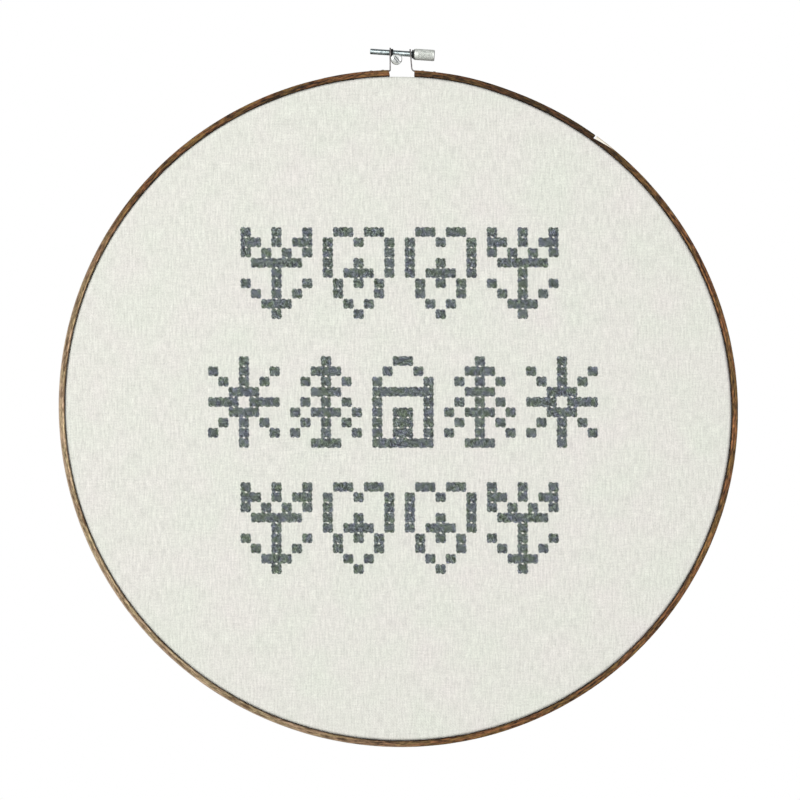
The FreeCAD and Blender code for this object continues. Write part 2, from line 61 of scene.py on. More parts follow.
# wooden hoops; plain numbers here are angles round the hoop, in degrees
OUTER_RADIUS = 203.2 * MM
OUTER_THICKNESS = 3.8 * MM
OUTER_INSIDE = OUTER_RADIUS - OUTER_THICKNESS
HOOP_DEPTH = 16.0 * MM
WOOD_ROUNDING = 0.8 * MM
INNER_THICKNESS = 4.0 * MM
OUT_OF_ROUND = 1.0 * MM
BULGE = 0.45 * MM
WIDEST = math.radians(122)
ROUND_UNTIL = 9
OVAL_FROM = 22
LEFT_END = -1.31
LEFT_SLANT = math.radians(10)
RIGHT_END = 2.85
SCARF_START = 26.0
SCARF_MIDDLE = 29.0
SCARF_SHIFT = 8.7 * MM
SCARF_RADIUS = OUTER_RADIUS - 2.95 * MM
LAP_END = 35.9
LAP_GAP = 0.25
POCKET_DEPTH = 0.8 * MM
POCKET_HALF_WIDTH = 4.75 * MM

# cloth
CLOTH_RIM = OUTER_INSIDE - 0.3 * MM
CLOTH_THICKNESS = 0.45 * MM
CLOTH_FACE = -15.9 * MM
SHOULDER = 1.9 * MM
CLOTH_BACK = -0.8 * MM
MARGIN_INNER = 172.0 * MM
STITCH_LINE = 176.0 * MM

# cross-stitch
PITCH = 6.15 * MM

TULIP = (
    "X..X..X",
    "XX.X.XX",
    "X.X.X.X",
    ".XXXXX.",
    "...X...",
    "X..X..X",
    ".X.X.X.",
    "..XXX..",
    "...X...",
)
HEART = (
    ".XX.XX.",
    "X..X..X",
    "X.....X",
    "X..X..X",
    "X.XXX.X",
    ".X.X.X.",
    ".X...X.",
    "..X.X..",
    "...X...",
)
STAR = (
    "...X...",
    "X..X..X",
    ".X.X.X.",
    "..XXX..",
    "XXX.XXX",
    "..XXX..",
    ".X.X.X.",
    "X..X..X",
    "...X...",
)
FIR = (
    "...X...",
    "..XXX..",
    ".X.X.X.",
    "..XXX..",
    ".X.X.X.",
    "X.XXX.X",
    ".X.X.X.",
    "X..X..X",
    "..XXX..",
)
HOUSE = (
    "..XX..",
    ".X..X.",
    "X....X",
    "XXXXXX",
    "X....X",
    "X.XX.X",
    "X.XX.X",
    "X.XX.X",
    "XXXXXX",
)
OUTER_ROW = (("tulip_left", TULIP), ("heart_left", HEART), ("heart_right", HEART), ("tulip_right", TULIP))
MIDDLE_ROW = (
    ("star_left", STAR),
    ("fir_left", FIR),
    ("house", HOUSE),
    ("fir_right", FIR),
    ("star_right", STAR),
)
ROWS = (("top", OUTER_ROW), ("middle", MIDDLE_ROW), ("bottom", OUTER_ROW))


# ---- meshes ------------------------------------------------------------------


def smooth_step(low, high, value):
    share = min(max((value - low) / (high - low), 0.0), 1.0)
    return share * share * (3 - 2 * share)


def swell(angle):
    """How much wider than round the bent wood is at an angle.

    It is widest at the lower right and upper left, bulges a little to the right, and is round at the
    closure.
    """
    turn = math.radians(angle)
    from_top = abs((angle + 180) % 360 - 180)
    oval = OUT_OF_ROUND * math.cos(2 * (turn - WIDEST)) + BULGE * math.sin(turn)
    return 1 + oval / OUTER_RADIUS * smooth_step(ROUND_UNTIL, OVAL_FROM, from_top)


def round_hoop(angle, radius, y):
    """A point at an angle in degrees, clockwise from the hoop's top."""
    turn = math.radians(angle)
    reach = radius * swell(angle)
    return Vector((HOOP_MIDDLE.x + reach * math.sin(turn), y, HOOP_MIDDLE.z + reach * math.cos(turn)))


def bell(value, middle, width):
    return math.exp(-(((value - middle) / width) ** 2))


def wobble(*place):
    """Smooth noise between about -1 and 1."""
    return noise.noise(Vector(place))


class Build:
    """Gathers points, faces and one mark per point, such as where it lies along the grain."""

    def __init__(self):
        self.points = []
        self.faces = []
        self.marks = []

    def point(self, place, mark=(0, 0, 0)):
        self.points.append(place)
        self.marks.append(mark)
        return len(self.points) - 1

    def strip(self, first, second, closed=True):
        """Joins two rows of point numbers by a band of quads."""
        count = len(first)
        for number in range(count if closed else count - 1):
            following = (number + 1) % count
            self.faces.append((first[number], first[following], second[following], second[number]))

    def skin(self, rows, closed=True, loop=False):
        for first, second in zip(rows, rows[1:]):
            self.strip(first, second, closed)
        if loop:
            self.strip(rows[-1], rows[0], closed)

    def cap(self, row, flip=False):
        """Closes a row of points with a fan round their middle."""
        middle = sum((self.points[number] for number in row), Vector()) / len(row)
        mark = tuple(sum(self.marks[number][axis] for number in row) / len(row) for axis in range(3))
        centre = self.point(middle, mark)
        for number, start in enumerate(row):
            end = row[(number + 1) % len(row)]
            self.faces.append((end, start, centre) if flip else (start, end, centre))

    def plain(self, name, material, smooth=True):
        """The object alone, not yet a piece of the model."""
        mesh = bpy.data.meshes.new(name)
        mesh.from_pydata(self.points, [], self.faces)
        marks = mesh.attributes.new("grain", "FLOAT_VECTOR", "POINT")
        for number, mark in enumerate(self.marks):
            marks.data[number].vector = mark
        for face in mesh.polygons:
            face.use_smooth = smooth
        mesh.materials.append(material)
        mesh.update()
        made = bpy.data.objects.new(name, mesh)
        bpy.context.scene.collection.objects.link(made)
        return made

    def finished(self, name, material, body, replaced=()):
        piece = self.plain(name, material)
        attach(piece, body)
        if replaced:
            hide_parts(*replaced)
        return piece


def carve(piece, cutter):
    """Cuts one closed mesh out of another and removes the cutter."""
    cutting = piece.modifiers.new("carve", "BOOLEAN")
    cutting.object = cutter
    cutting.operation = "DIFFERENCE"
    cutting.solver = "EXACT"
    bpy.context.view_layer.update()
    graph = bpy.context.evaluated_depsgraph_get()
    carved = bpy.data.meshes.new_from_object(piece.evaluated_get(graph))
    piece.modifiers.clear()
    piece.data = carved
    bpy.data.objects.remove(cutter)


def tube(build, path, width, height, sides, facing, seed=0.0, start=0.0):
    """A flattened tube along a path. width and height are one size or one for each point of the path."""
    widths = width if isinstance(width, list) else [width] * len(path)
    heights = height if isinstance(height, list) else [height] * len(path)
    rows = []
    travelled = start
    for number, place in enumerate(path):
        before = path[max(number - 1, 0)]
        after = path[min(number + 1, len(path) - 1)]
        along = (after - before).normalized()
        if number:
            travelled += (place - path[number - 1]).length
        side = along.cross(facing).normalized()
        up = side.cross(along).normalized()
        row = []
        for step in range(sides):
            turn = TURN * step / sides
            across = side * math.cos(turn) * widths[number] / 2
            outward = up * math.sin(turn) * heights[number] / 2
            row.append(build.point(place + across + outward, (travelled, step / sides, seed)))
        rows.append(row)
    build.skin(rows)
    build.cap(rows[0], flip=True)
    build.cap(rows[-1])


def lathe(build, origin, axis, up, profile, sides):
    """Turns (distance along the axis, radius) pairs about an axis.

    A radius is one size, or a function of the turn.
    """
    across = axis.cross(up).normalized()
    upward = across.cross(axis).normalized()
    rows = []
    for distance, radius in profile:
        row = []
        for step in range(sides):
            turn = TURN * step / sides
            reach = radius(turn) if callable(radius) else radius
            place = origin + axis * distance + (across * math.cos(turn) + upward * math.sin(turn)) * reach
            row.append(build.point(place, (distance, step / sides, reach)))
        rows.append(row)
    build.skin(rows)
    build.cap(rows[0], flip=True)
    build.cap(rows[-1])


# ---- materials ---------------------------------------------------------------


class Paint:
    """A short way to write a node material. Sockets that never change are set in the call."""

    def __init__(self, name, **sockets):
        self.material = bpy.data.materials.new(name)
        self.material.use_nodes = True
        self.tree = self.material.node_tree
        self.shader = self.tree.nodes["Principled BSDF"]
        for socket, value in sockets.items():
            self.shader.inputs[socket.replace("_", " ")].default_value = value

    def node(self, kind, *inputs, **settings):
        made = self.tree.nodes.new(kind)
        for name, value in settings.items():
            setattr(made, name, value)
        for number, value in enumerate(inputs):
            self.feed(made.inputs[number], value)
        return made

    def feed(self, socket, value):
        if isinstance(value, bpy.types.NodeSocket):
            self.tree.links.new(value, socket)
        elif value is not None:
            socket.default_value = value

    def marks(self):
        made = self.node("ShaderNodeAttribute", attribute_name="grain")
        return made.outputs["Vector"]

    def place(self):
        return self.node("ShaderNodeTexCoord").outputs["Object"]

    def scaled(self, vector, scale):
        return self.node("ShaderNodeVectorMath", vector, scale, operation="MULTIPLY").outputs["Vector"]

    def split(self, vector):
        made = self.node("ShaderNodeSeparateXYZ", vector)
        return made.outputs[0], made.outputs[1], made.outputs[2]

    def cloud(self, vector, detail=3.0, roughness=0.55):
        made = self.node("ShaderNodeTexNoise")
        self.feed(made.inputs["Vector"], vector)
        made.inputs["Scale"].default_value = 1.0
        made.inputs["Detail"].default_value = detail
        made.inputs["Roughness"].default_value = roughness
        return made.outputs["Fac"]

    def maths(self, operation, first, second=None, third=None):
        made = self.node("ShaderNodeMath", first, second, third, operation=operation)
        return made.outputs[0]

    def spread(self, value, low, high, start=0.0, end=1.0):
        """Stretches a value from low..high to start..end, and holds it there."""
        made = self.node("ShaderNodeMapRange", value, low, high, start, end)
        return made.outputs["Result"]

    def blend(self, share, first, second):
        made = self.node("ShaderNodeMix", data_type="RGBA")
        self.feed(made.inputs["Factor"], share)
        self.feed(made.inputs[6], first)
        self.feed(made.inputs[7], second)
        return made.outputs[2]

    def scale_colour(self, colour, factor):
        grey = self.node("ShaderNodeCombineColor", factor, factor, factor).outputs[0]
        made = self.node("ShaderNodeMix", data_type="RGBA", blend_type="MULTIPLY")
        made.inputs["Factor"].default_value = 1.0
        self.feed(made.inputs[6], colour)
        self.feed(made.inputs[7], grey)
        return made.outputs[2]

    def bump(self, height, distance, strength=1.0, under=None):
        made = self.node("ShaderNodeBump")
        made.inputs["Strength"].default_value = strength
        made.inputs["Distance"].default_value = distance
        self.feed(made.inputs["Height"], height)
        if under is not None:
            self.feed(made.inputs["Normal"], under)
        return made.outputs["Normal"]

    def to(self, socket, value):
        self.feed(self.shader.inputs[socket], value)


def rgb(red, green, blue):
    """A colour as the screen shows it, from 0 to 255, for a shader."""
    levels = []
    for level in (red, green, blue):
        share = level / 255
        levels.append(share / 12.92 if share <= 0.04045 else ((share + 0.055) / 1.055) ** 2.4)
    return (*levels, 1.0)


FADED_AND_LIT_AT = math.radians(240)
DENSE_AND_SHADED_AT = math.radians(26)


def stained_wood():
    """Walnut-stained bent wood, with its grain along the strip, paler on the hoop's left side, where the
    stain is thin and the colour is also painted lighter as lit from the left.
    """
    paint = Paint("stained_walnut", Specular_IOR_Level=0.2)
    marks = paint.marks()
    along, radius, _ = paint.split(marks)
    broad = paint.cloud(paint.scaled(marks, (24, 300, 120)), 3.0)
    streaks = paint.cloud(paint.scaled(marks, (190, 1150, 800)), 4.0, 0.7)
    pores = paint.cloud(paint.scaled(marks, (330, 3200, 2200)), 3.0, 0.65)
    tint = paint.cloud(paint.scaled(marks, (70, 420, 300)), 2.0)
    tone = paint.maths("ADD", paint.maths("MULTIPLY", broad, 0.3), paint.maths("MULTIPLY", streaks, 0.7))
    # the stain is thin on the left side of the hoop and dense at the upper right; the left side is also
    # painted lighter, as lit from the left
    turn = paint.maths("DIVIDE", along, OUTER_RADIUS)
    side = paint.maths("COSINE", paint.maths("SUBTRACT", turn, FADED_AND_LIT_AT))
    faded_and_lit = paint.spread(side, 0.38, 0.82)
    dark = paint.blend(faded_and_lit, rgb(36, 20, 10), rgb(106, 82, 58))
    light_red = paint.blend(faded_and_lit, rgb(160, 108, 68), rgb(204, 176, 147))
    light_green = paint.blend(faded_and_lit, rgb(148, 114, 64), rgb(196, 177, 138))
    light = paint.blend(paint.spread(tint, 0.42, 0.58), light_red, light_green)
    colour = paint.blend(paint.spread(tone, 0.40, 0.61), dark, light)
    shade = paint.spread(pores, 0.36, 0.56, 0.36, 1.08)
    # partly painted shade: the wood is darkened round the upper right, where the stain is dense and the
    # hoop lies farthest from the light
    from_dense_shade = paint.maths("ABSOLUTE", paint.maths("SUBTRACT", along, DENSE_AND_SHADED_AT * OUTER_RADIUS))
    shade = paint.maths("MULTIPLY", shade, paint.spread(from_dense_shade, 25 * MM, 85 * MM, 0.42, 1.0))
    from_inside = paint.maths("SUBTRACT", radius, OUTER_INSIDE)
    # painted shade: the wood is darkened along its inner edge, beside the gap to the cloth
    shade = paint.maths("MULTIPLY", shade, paint.spread(from_inside, 0.35 * MM, 0.85 * MM, 0.3, 1.0))
    # a painted highlight: a lighter line beside the inner edge on both sides of the hoop, where the
    # rounded edge catches the light
    sideways = paint.spread(paint.maths("ABSOLUTE", paint.maths("SINE", turn)), 0.6, 0.95)
    from_highlight = paint.maths("ABSOLUTE", paint.maths("SUBTRACT", from_inside, 1.15 * MM))
    line = paint.maths("MULTIPLY", paint.spread(from_highlight, 0.1 * MM, 0.35 * MM, 1.0, 0.0), sideways)
    shade = paint.maths("MULTIPLY", shade, paint.spread(line, 0.0, 1.0, 1.0, 1.9))
    colour = paint.scale_colour(colour, shade)
    # lighter outer edge on the left side: partly worn, dusty wood and partly a painted highlight where
    # the light falls on the rounded edge
    near_edge = paint.spread(radius, OUTER_RADIUS - 0.9 * MM, OUTER_RADIUS - 0.2 * MM)
    most_worn_and_lit = 0.6
    worn = paint.maths("MULTIPLY", paint.maths("MULTIPLY", near_edge, faded_and_lit), most_worn_and_lit)
    colour = paint.blend(worn, colour, rgb(206, 184, 166))
    # raw wood where the lap strip's glued face runs out on the long strip
    raw_slope = 0.135
    raw_start = math.radians(LAP_END + 0.1) * OUTER_RADIUS
    past_lap = paint.maths("SUBTRACT", along, raw_start)
    raw_line = paint.maths("MULTIPLY_ADD", past_lap, raw_slope, OUTER_INSIDE + 1.6 * MM)
    over_line = paint.spread(paint.maths("SUBTRACT", radius, raw_line), 0.0, 0.2 * MM)
    raw = paint.maths("MULTIPLY", over_line, paint.spread(past_lap, 0.0, 0.1 * MM))
    raw_colour = paint.blend(paint.spread(streaks, 0.35, 0.65), rgb(238, 230, 214), rgb(250, 246, 236))
    # painted shade along the outer edge of the raw wood
    raw_edge_shade = paint.spread(radius, OUTER_RADIUS - 0.45 * MM, OUTER_RADIUS - 0.2 * MM)
    raw_colour = paint.blend(raw_edge_shade, raw_colour, rgb(186, 164, 132))
    colour = paint.blend(raw, colour, raw_colour)
    paint.to("Base Color", colour)
    paint.to("Roughness", paint.spread(streaks, 0.3, 0.7, 0.6, 0.42))
    fine = paint.bump(pores, 0.06 * MM, 0.7)
    paint.to("Normal", paint.bump(streaks, 0.12 * MM, 0.7, fine))
    return paint.material


def plain_wood():
    """Pale unstained wood of the inner hoop."""
    paint = Paint("pale_beech", Roughness=0.55)
    marks = paint.marks()
    broad = paint.cloud(paint.scaled(marks, (12, 240, 100)), 3.0)
    flecks = paint.cloud(paint.scaled(marks, (220, 2600, 1600)), 3.0)
    base = paint.blend(paint.spread(broad, 0.35, 0.65), rgb(201, 168, 124), rgb(226, 200, 160))
    colour = paint.blend(paint.spread(flecks, 0.56, 0.66), base, rgb(158, 118, 80))
    paint.to("Base Color", colour)
    paint.to("Normal", paint.bump(flecks, 0.08 * MM, 0.6))
    return paint.material


def linen():
    """Plain-woven pale linen, with thick and thin yarns both ways."""
    yarn_spacing = 0.46 * MM
    most_wander = 0.9 * MM
    paint = Paint("pale_linen", Roughness=0.9)
    paint.shader.inputs["Sheen Weight"].default_value = 0.15
    paint.shader.inputs["Specular IOR Level"].default_value = 0.2
    marks = paint.marks()
    drift = paint.cloud(paint.scaled(marks, (55, 55, 1)), 2.0)
    wander = paint.maths("MULTIPLY", paint.maths("SUBTRACT", drift, 0.5), most_wander)
    across, up, _ = paint.split(marks)
    yarn_turns = TURN / 2 / yarn_spacing
    warp = paint.maths("SINE", paint.maths("MULTIPLY", paint.maths("ADD", across, wander), yarn_turns))
    weft = paint.maths("SINE", paint.maths("MULTIPLY", paint.maths("ADD", up, wander), yarn_turns))
    over = paint.maths("MULTIPLY", warp, weft)
    tall_slubs = paint.cloud(paint.scaled(marks, (950, 120, 1)), 4.0, 0.7)
    wide_slubs = paint.cloud(paint.scaled(marks, (130, 900, 1)), 4.0, 0.7)
    specks = paint.cloud(paint.scaled(marks, (1100, 1100, 1)), 2.0, 0.6)
    cast = paint.cloud(paint.scaled(marks, (26, 26, 1)), 2.0)
    base = paint.blend(paint.spread(cast, 0.3, 0.7), rgb(234, 237, 228), rgb(238, 235, 231))
    lit = paint.spread(tall_slubs, 0.32, 0.68, 0.84, 1.08)
    lit = paint.maths("MULTIPLY", lit, paint.spread(wide_slubs, 0.3, 0.7, 0.92, 1.04))
    lit = paint.maths("MULTIPLY", lit, paint.spread(specks, 0.3, 0.7, 0.9, 1.07))
    lit = paint.maths("MULTIPLY", lit, paint.spread(over, -1.0, 1.0, 0.94, 1.02))
    paint.to("Base Color", paint.scale_colour(base, lit))
    slub_bump = paint.bump(tall_slubs, 0.10 * MM, 0.5)
    slub_bump = paint.bump(wide_slubs, 0.08 * MM, 0.4, slub_bump)
    paint.to("Normal", paint.bump(over, 0.10 * MM, 0.6, slub_bump))
    return paint.material


def yarn(name, dark, light):
    """Twisted yarn. A mark says how far along its strand a point is, how far round, and which strand."""
    twists_per_metre = 950.0
    paint = Paint(name, Roughness=0.9)
    paint.shader.inputs["Sheen Weight"].default_value = 0.25
    paint.shader.inputs["Specular IOR Level"].default_value = 0.15
    along, round_it, strand = paint.split(paint.marks())
    twist = paint.maths("MULTIPLY", along, twists_per_metre)
    phase = paint.maths("MULTIPLY", paint.maths("ADD", paint.maths("ADD", twist, round_it), strand), TURN)
    plies = paint.maths("MULTIPLY_ADD", paint.maths("SINE", phase), 0.5, 0.5)
    fuzz = paint.cloud(paint.scaled(paint.place(), (1300, 1300, 1300)), 3.0, 0.75)
    patches = paint.cloud(paint.scaled(paint.place(), (330, 330, 330)), 3.0)
    # painted shade: the tone darkens in the grooves between the twisted plies and lightens on their
    # crowns, and it also varies with the fuzz
    tone = paint.maths("ADD", paint.maths("MULTIPLY", plies, 0.3), paint.maths("MULTIPLY", fuzz, 0.7))
    specks = paint.cloud(paint.scaled(paint.place(), (1200, 1200, 1200)), 2.0, 0.7)
    # the sides of a strand lie in the shade of its neighbours
    crown = paint.maths("SINE", paint.maths("MULTIPLY", round_it, TURN))
    deep = paint.blend(paint.spread(patches, 0.34, 0.66), dark[0], dark[1])
    pale = paint.blend(paint.spread(patches, 0.34, 0.66), light[0], light[1])
    colour = paint.blend(paint.spread(tone, 0.40, 0.60), deep, pale)
    speckled = paint.spread(specks, 0.42, 0.58, 0.2, 1.5)
    shade = paint.maths("MULTIPLY", paint.spread(crown, 0.1, 0.9, 0.5, 1.0), speckled)
    paint.to("Base Color", paint.scale_colour(colour, shade))
    fuzzy = paint.bump(fuzz, 0.12 * MM, 0.6)
    paint.to("Normal", paint.bump(plies, 0.10 * MM, 0.8, fuzzy))
    return paint.material


def metal(name, dark, light, rough, valley=None, metallic=1.0):
    """Plated metal with fine scratches and small stains. Points nearer the axis than valley are darkened,
    a painted shade in the knurl's valleys.
    """
    paint = Paint(name, Metallic=metallic, Roughness=rough)
    place = paint.place()
    stains = paint.cloud(paint.scaled(place, (420, 420, 420)), 4.0, 0.6)
    scratches = paint.cloud(paint.scaled(place, (1800, 9000, 5200)), 2.0)
    colour = paint.blend(paint.spread(stains, 0.36, 0.62), dark, light)
    if valley:
        # painted shade in the valleys of the knurl
        _, _, reach = paint.split(paint.marks())
        colour = paint.scale_colour(colour, paint.spread(reach, valley, valley + 0.16 * MM, 0.15, 1.0))
    paint.to("Base Color", colour)
    half_stains = paint.maths("MULTIPLY", stains, 0.5)
    worn = paint.maths("ADD", half_stains, paint.maths("MULTIPLY", scratches, 0.5))
    paint.to("Roughness", paint.spread(worn, 0.35, 0.65, max(rough - 0.07, 0.05), rough + 0.12))
    paint.to("Normal", paint.bump(scratches, 0.01 * MM, 0.4))
    return paint.material


SLOT_SLANT = math.radians(50)


def slotted_zinc():
    """The bright screw head, with painted shade along both edges of its slot and round its rim."""
    edge_of_slot = 0.62 * MM
    paint = Paint("slotted_zinc", Metallic=1.0, Roughness=0.26)
    across, _, up = paint.split(paint.place())
    from_slot = paint.maths(
        "ADD",
        paint.maths("MULTIPLY", across, math.sin(SLOT_SLANT)),
        paint.maths("MULTIPLY", up, math.cos(SLOT_SLANT)),
    )
    past_edge = paint.maths("SUBTRACT", paint.maths("ABSOLUTE", from_slot), edge_of_slot)
    # painted shade along both edges of the slot, and further down round the rim
    slot_and_rim_shade = paint.spread(paint.maths("ABSOLUTE", past_edge), 0.15 * MM, 0.4 * MM, 1.0, 0.0)
    across_squared = paint.maths("POWER", across, 2.0)
    up_squared = paint.maths("POWER", up, 2.0)
    reach = paint.maths("SQRT", paint.maths("ADD", across_squared, up_squared))
    slot_and_rim_shade = paint.maths("MULTIPLY", slot_and_rim_shade, paint.spread(reach, 2.1 * MM, 2.6 * MM, 1.0, 0.0))
    slot_and_rim_shade = paint.maths("MAXIMUM", slot_and_rim_shade, paint.spread(reach, 3.1 * MM, 3.35 * MM, 0.0, 0.6))
    stains = paint.cloud(paint.scaled(paint.place(), (420, 420, 420)), 4.0, 0.6)
    bare_zinc = paint.blend(paint.spread(stains, 0.36, 0.62), rgb(226, 230, 228), rgb(248, 250, 248))
    paint.to("Base Color", paint.blend(paint.maths("MULTIPLY", slot_and_rim_shade, 0.85), bare_zinc, rgb(70, 78, 84)))
    paint.to("Normal", paint.bump(stains, 0.01 * MM, 0.4))
    return paint.material


WALNUT = stained_wood()
BEECH = plain_wood()
LINEN = linen()
GREY_YARN = yarn(
    "slate_yarn",
    (rgb(52, 58, 70), rgb(56, 68, 52)),
    (rgb(148, 154, 172), rgb(146, 162, 140)),
)
COTTON = yarn(
    "ecru_cotton",
    (rgb(190, 180, 158), rgb(182, 172, 150)),
    (rgb(226, 218, 200), rgb(216, 208, 190)),
)
KNOB_NICKEL = metal(
    "knob_nickel",
    rgb(232, 238, 232),
    rgb(250, 252, 248),
    0.42,
    valley=3.2 * MM,
    metallic=0.6,
)
STEEL_THREAD = metal("threaded_steel", rgb(150, 162, 166), rgb(206, 218, 220), 0.16)
DARK_STEEL = metal("near_black_steel", rgb(26, 26, 28), rgb(52, 54, 56), 0.42)
STRIP_STEEL = metal("strip_steel", rgb(112, 108, 108), rgb(168, 164, 162), 0.28)
ZINC = metal("zinc_steel", rgb(214, 220, 216), rgb(244, 248, 244), 0.22)
SCREW_ZINC = slotted_zinc()


# ---- wooden hoops ------------------------------------------------------------


CORNER_STEPS = 5
PARTS_ACROSS = 6
PARTS_DEEP = 20


def rounded_section(inside, outside, back, front, roundings):
    """(radius, y) points round a strip's section. roundings holds one size for each corner."""
    corners = (
        (inside, back, 1, -1),
        (outside, back, -1, -1),
        (outside, front, -1, 1),
        (inside, front, 1, 1),
    )
    starts = (180, 90, 0, -90)
    spots = []
    for (radius, y, inward, forward), start, rounding in zip(corners, starts, roundings):
        size = min(rounding, (outside - inside) * 0.45)
        middle_radius = radius + inward * size
        middle_y = y + forward * size
        for step in range(CORNER_STEPS + 1):
            turn = math.radians(start - 90 * step / CORNER_STEPS)
            spots.append((middle_radius + size * math.cos(turn), middle_y + size * math.sin(turn)))
    return with_sides_divided(spots)


def with_sides_divided(spots):
    """Adds points along the straight side after each corner, in turn across the strip and its depth."""
    dense = []
    for number, (radius, y) in enumerate(spots):
        next_radius, next_y = spots[(number + 1) % len(spots)]
        dense.append((radius, y))
        corner, step = divmod(number, CORNER_STEPS + 1)
        if step == CORNER_STEPS:
            parts = PARTS_ACROSS if corner % 2 == 0 else PARTS_DEEP
            for part in range(1, parts):
                share = part / parts
                dense.append((radius + (next_radius - radius) * share, y + (next_y - y) * share))
    return dense


def scarf_reach(angle):
    """How far the scarf's curved joint lies from the hoop's middle at an angle."""
    turn = math.radians(angle - SCARF_MIDDLE - 90)
    across = SCARF_SHIFT * math.sin(turn)
    return SCARF_SHIFT * math.cos(turn) + math.sqrt(SCARF_RADIUS**2 - across**2)


def angles_between(first, last, step):
    count = max(int(abs(last - first) / step), 2)
    return [first + (last - first) * number / count for number in range(count + 1)]


END_EASE = 0.35 * MM
GLUED_EDGE = 0.1 * MM


def wooden_strip(name, angles, limits, roundings, skew, replaced):
    """Sweeps a section along the hoop.

    limits and roundings depend on the angle, and skew shifts an angle by how far out it lies.
    """
    build = Build()
    rows = []
    last = len(angles) - 1
    for number, angle in enumerate(angles):
        inside, outside = limits(angle)
        worn = 1 + 0.25 * wobble(angle * 0.35, 0.0, 3.0) + 0.2 * wobble(angle * 2.1, 5.0, 3.0)
        corner_sizes = [size * worn for size in roundings(angle)]
        ease = END_EASE if number in (0, last) else 0.0
        section = rounded_section(inside + ease, outside - ease, -ease, -HOOP_DEPTH + ease, corner_sizes)
        row = []
        for radius, y in section:
            ripple = 0.05 * MM * wobble(angle * 0.8, radius * 500, y * 300)
            turned_angle = angle + skew(angle, radius)
            place = round_hoop(turned_angle, radius + ripple, y)
            row.append(build.point(place, (math.radians(angle % 360) * OUTER_RADIUS, radius, y)))
        rows.append(row)
    build.skin(rows)
    build.cap(rows[0], flip=True)
    build.cap(rows[-1])
    return build.finished(name, WALNUT, "outer_hoop", replaced)


def mark_grain(strip):
    """Marks again how far along, how far out and how deep each point of a strip lies, after a cut."""
    if "grain" in strip.data.attributes:
        strip.data.attributes.remove(strip.data.attributes["grain"])
    marks = strip.data.attributes.new("grain", "FLOAT_VECTOR", "POINT")
    for number, corner in enumerate(strip.data.vertices):
        across = corner.co.x - HOOP_MIDDLE.x
        up = corner.co.z - HOOP_MIDDLE.z
        turn = math.atan2(across, up) % TURN
        radius = math.hypot(across, up) / swell(math.degrees(turn))
        marks.data[number].vector = (turn * OUTER_RADIUS, radius, corner.co.y)


def let_in(strip, bracket, side):
    """Cuts the shallow pocket of a bracket's foot, from the strip's end to just past the foot."""
    low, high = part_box(bracket)
    past_foot = 0.5 * MM
    past_rim = 2 * MM
    far_reach = max(abs(low.x - HOOP_MIDDLE.x), abs(high.x - HOOP_MIDDLE.x)) + past_foot
    far_angle = side * math.degrees(math.asin(far_reach / OUTER_RADIUS))
    middle = -HOOP_DEPTH / 2
    corners = (
        (OUTER_RADIUS - POCKET_DEPTH, middle + POCKET_HALF_WIDTH),
        (OUTER_RADIUS + past_rim, middle + POCKET_HALF_WIDTH),
        (OUTER_RADIUS + past_rim, middle - POCKET_HALF_WIDTH),
        (OUTER_RADIUS - POCKET_DEPTH, middle - POCKET_HALF_WIDTH),
    )
    block = Build()
    rows = []
    in_the_gap = side * 0.5
    for angle in angles_between(*sorted((in_the_gap, far_angle)), 0.2):
        rows.append([block.point(round_hoop(angle, radius, y)) for radius, y in corners])
    block.skin(rows)
    block.cap(rows[0], flip=True)
    block.cap(rows[-1])
    carve(strip, block.plain(f"{bracket}_pocket", WALNUT, smooth=False))
    mark_grain(strip)


def make_main_strip():
    step_at = LAP_END + LAP_GAP
    fine_until = 41
    far_end = 360 + LEFT_END
    slanted_from = far_end - 1.5

    def limits(angle):
        if angle <= step_at:
            return OUTER_INSIDE, scarf_reach(angle)
        return OUTER_INSIDE, OUTER_RADIUS

    def roundings(angle):
        if angle <= step_at:
            return (WOOD_ROUNDING, GLUED_EDGE, GLUED_EDGE, WOOD_ROUNDING)
        return (WOOD_ROUNDING,) * 4

    def skew(angle, radius):
        near_end = smooth_step(slanted_from, far_end, angle)
        return -math.degrees(math.tan(LEFT_SLANT) * (radius - OUTER_INSIDE) / OUTER_RADIUS) * near_end

    angles = angles_between(SCARF_START, step_at, 0.3)
    angles += angles_between(step_at + 0.01, fine_until, 0.15)
    angles += angles_between(fine_until + 0.4, slanted_from, 0.45)
    angles += angles_between(far_end - 1.4, far_end - 0.1, 0.2) + [far_end]
    strip = wooden_strip("main_strip_walnut", angles, limits, roundings, skew, ["outer_hoop_main_strip"])
    let_in(strip, "left_bracket", -1)


def make_lap_strip():
    glue_gap = 0.02 * MM

    def limits(angle):
        if angle >= SCARF_START:
            return scarf_reach(angle) + glue_gap, OUTER_RADIUS
        return OUTER_INSIDE, OUTER_RADIUS

    def roundings(angle):
        outer = WOOD_ROUNDING + 0.3 * MM * smooth_step(LAP_END - 0.3, LAP_END, angle)
        inner = GLUED_EDGE if angle >= SCARF_START else WOOD_ROUNDING
        return (inner, outer, outer, inner)

    angles = [RIGHT_END, RIGHT_END + 0.1]
    angles += angles_between(RIGHT_END + 0.25, SCARF_START - 0.05, 0.4)
    angles += angles_between(SCARF_START + 0.01, LAP_END - 0.1, 0.3) + [LAP_END]
    strip = wooden_strip(
        "lap_strip_walnut",
        angles,
        limits,
        roundings,
        lambda angle, radius: 0.0,
        ["outer_hoop_lap_strip"],
    )
    let_in(strip, "right_bracket", 1)


